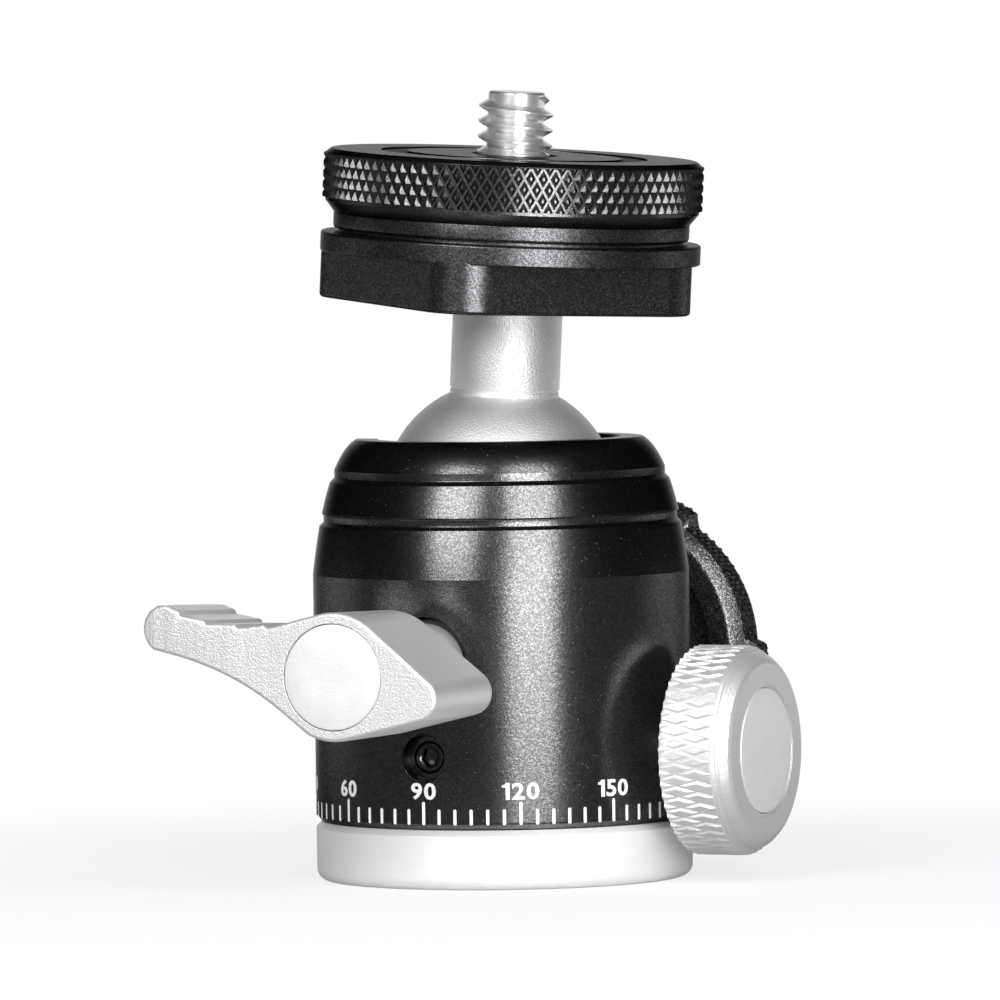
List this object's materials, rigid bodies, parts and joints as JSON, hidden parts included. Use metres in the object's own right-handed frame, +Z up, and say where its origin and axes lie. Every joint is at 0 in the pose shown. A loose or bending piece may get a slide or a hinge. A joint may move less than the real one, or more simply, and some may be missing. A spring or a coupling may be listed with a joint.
{
  "type": "tripod ball head",
  "caption": "Compact ball head for a camera tripod: panning base, barrel housing with lock lever and knobs, ball with stem, and camera platform with screw and lock disc.",
  "frame": {"origin": "centre of the base's underside, at the mouth of the tripod socket", "axes": "+Z up along the pan axis, -Y towards the lock lever, +X towards the pan knob"},
  "size_m": [0.0408, 0.0581, 0.0651],
  "materials": {
    "base_silver": "fine blasted silver anodising",
    "insert_steel": "turned, threaded bore",
    "washer_plastic": "plain",
    "spring_steel": "stamped",
    "housing_black": "bead-blasted and black anodised, with a white scale",
    "bearing_brass": "turned",
    "seat_plastic": "plain",
    "screw_black": "black oxide",
    "bush_plastic": "plain",
    "stud_steel": "turned",
    "knob_silver": "knurled and silver anodised",
    "cap_silver": "fine satin",
    "lever_silver": "grainy blasted silver anodising",
    "cup_plastic": "plain",
    "knob_black": "black anodised over a coarse knurl",
    "liner_plastic": "plain",
    "ball_silver": "satin silver",
    "head_black": "blasted and black anodised",
    "screw_bright": "bright thread",
    "disc_black": "black anodised, with a diamond knurl on the rim",
    "pad_rubber": "matte ring"
  },
  "bodies": {
    "base": {"base": "base_silver", "thread_insert": "insert_steel", "pan_washer": "washer_plastic", "pan_clip": "spring_steel"},
    "housing": {"housing": "housing_black", "pan_collar": "bearing_brass", "seat_ring": "seat_plastic", "set_screw": "screw_black", "lever_bushing": "bush_plastic", "drag_bushing": "bush_plastic"},
    "pan_pad": {"pan_lock_pad": "bearing_brass"},
    "pan_knob": {"pan_lock_screw": "stud_steel", "pan_knob": "knob_silver", "pan_knob_cap": "cap_silver"},
    "lever": {"lever_shaft": "stud_steel", "lever": "lever_silver", "lever_screw": "screw_black", "lever_cap": "cap_silver"},
    "cup": {"pressure_cup": "cup_plastic"},
    "plunger": {"drag_plunger": "bearing_brass"},
    "drag_knob": {"drag_screw": "stud_steel", "drag_knob": "knob_black", "drag_knob_screw": "screw_black", "drag_knob_cap": "knob_black"},
    "liner": {"ball_liner": "liner_plastic"},
    "ball": {"ball_stem": "ball_silver"},
    "platform": {"platform": "head_black", "camera_screw": "screw_bright"},
    "washer": {"disc_washer": "spring_steel"},
    "disc": {"lock_disc": "disc_black", "disc_pad": "pad_rubber"}
  },
  "joints": [
    {"name": "pan_turn", "type": "hinge", "parent": "base", "child": "housing", "pos_m": [0, 0, 0.00498], "axis": [0, 0, 1], "continuous": true},
    {"name": "pan_pad_travel", "type": "slide", "parent": "housing", "child": "pan_pad", "axis": [1, 0, 0], "range_m": [-0.0000583, 0.000583]},
    {"name": "pan_knob_turn", "type": "hinge", "parent": "pan_pad", "child": "pan_knob", "pos_m": [0.0207, 0, 0.0108], "axis": [1, 0, 0], "range_deg": [-30, 300]},
    {"name": "lever_swing", "type": "hinge", "parent": "housing", "child": "lever", "pos_m": [0, -0.0269, 0.01835], "axis": [0, -1, 0], "range_deg": [-60, 45]},
    {"name": "cup_lift", "type": "slide", "parent": "housing", "child": "cup", "axis": [0, 0, 1], "range_m": [-0.0001047, 0.0000785]},
    {"name": "plunger_travel", "type": "slide", "parent": "housing", "child": "plunger", "axis": [0, 1, 0], "range_m": [-0.0001944, 0.000486]},
    {"name": "drag_knob_turn", "type": "hinge", "parent": "plunger", "child": "drag_knob", "pos_m": [0, 0.0234, 0.01775], "axis": [0, 1, 0], "range_deg": [-100, 250]},
    {"name": "ball_swing", "type": "hinge", "parent": "housing", "child": "liner", "pos_m": [0, 0, 0.0313], "axis": [0, 0, 1], "range_deg": [0, 180]},
    {"name": "ball_tilt", "type": "hinge", "parent": "liner", "child": "ball", "pos_m": [0, 0, 0.0313], "axis": [0.1219, 0.9925, 0], "range_deg": [-93.75, 32.25]},
    {"name": "platform_spin", "type": "hinge", "parent": "ball", "child": "platform", "pos_m": [0.00103, -0.00013, 0.04722], "axis": [0.0649, -0.008, 0.9979], "continuous": true},
    {"name": "washer_travel", "type": "slide", "parent": "platform", "child": "washer", "axis": [0.0649, -0.008, 0.9979], "range_m": [0, 0.00247]},
    {"name": "disc_turn", "type": "hinge", "parent": "washer", "child": "disc", "pos_m": [0.00151, -0.00018, 0.0545], "axis": [0.0649, -0.008, 0.9979], "range_deg": [0, 700]}
  ],
  "couplings": [
    {"joint": "pan_knob_turn", "follows": "pan_pad_travel", "rad_per_m": 8976},
    {"joint": "lever_swing", "follows": "cup_lift", "rad_per_m": 10000},
    {"joint": "drag_knob_turn", "follows": "plunger_travel", "rad_per_m": 8976},
    {"joint": "disc_turn", "follows": "washer_travel", "rad_per_m": 4947.4}
  ]
}
